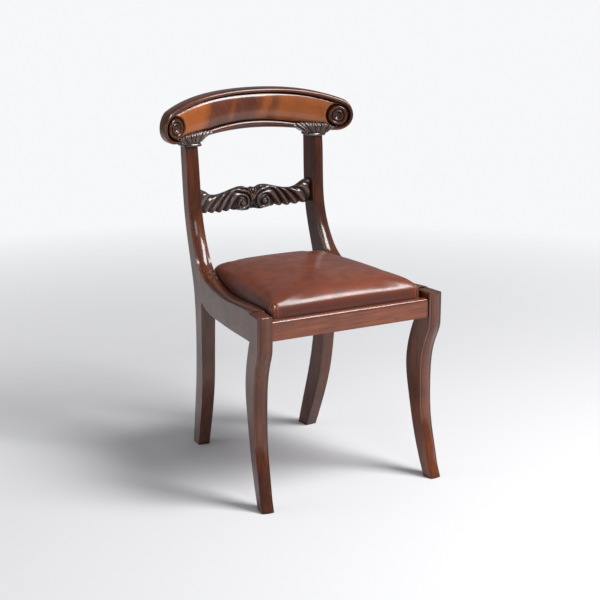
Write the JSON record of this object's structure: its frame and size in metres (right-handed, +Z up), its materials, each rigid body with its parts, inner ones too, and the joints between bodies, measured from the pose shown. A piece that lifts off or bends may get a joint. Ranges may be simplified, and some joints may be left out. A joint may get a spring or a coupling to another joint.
{
  "type": "klismos dining chair",
  "caption": "Mahogany klismos dining chair with sabre legs, scrolled crest rail, carved middle rail and a loose padded leather seat.",
  "frame": {"origin": "on the floor, below the middle of the chair's plan", "axes": "+Z up, -Y towards the front of the chair, +X to the right as seen from the front"},
  "size_m": [0.502, 0.528, 0.855],
  "materials": {
    "mahogany": "french polished, glossy",
    "figured_mahogany": "flame figured, french polished, glossy",
    "carved_mahogany": "carved, polished, dark",
    "beech": "bare, planed",
    "screw_steel": "plain",
    "webbing": "woven jute",
    "hessian": "woven jute sheet",
    "stuffing": "hair under wadding",
    "seat_leather": "worn, satin, smooth",
    "dust_cloth": "thin woven cloth"
  },
  "bodies": {
    "frame": {"back_rail": "mahogany", "back_rail_dowels": "beech", "bracket_left": "carved_mahogany", "bracket_right": "carved_mahogany", "cleat_left": "beech", "cleat_right": "beech", "cleat_screws": "screw_steel", "corner_block_front_left": "beech", "corner_block_front_right": "beech", "corner_block_rear_left": "beech", "corner_block_rear_right": "beech", "corner_block_screws": "screw_steel", "crest_dowels": "beech", "crest_panel": "figured_mahogany", "crest_rail": "mahogany", "crest_roundel_left": "mahogany", "crest_roundel_right": "mahogany", "front_leg_left": "mahogany", "front_leg_right": "mahogany", "front_rail": "mahogany", "front_rail_dowels": "beech", "mid_rail": "carved_mahogany", "mid_rail_dowels": "beech", "rear_leg_left": "mahogany", "rear_leg_right": "mahogany", "side_rail_dowels": "beech", "side_rail_left": "mahogany", "side_rail_right": "mahogany"},
    "seat": {"seat_cover": "seat_leather", "seat_dust_cover": "dust_cloth", "seat_frame_dowels": "beech", "seat_hessian": "hessian", "seat_rail_back": "beech", "seat_rail_front": "beech", "seat_rail_left": "beech", "seat_rail_right": "beech", "seat_stuffing": "stuffing", "seat_tacks": "screw_steel", "seat_webbing_crossways": "webbing", "seat_webbing_lengthways": "webbing"}
  },
  "joints": [
    {"name": "seat_lift", "type": "slide", "parent": "frame", "child": "seat", "axis": [0, 0, 1], "range_m": [0, 0.12]}
  ]
}
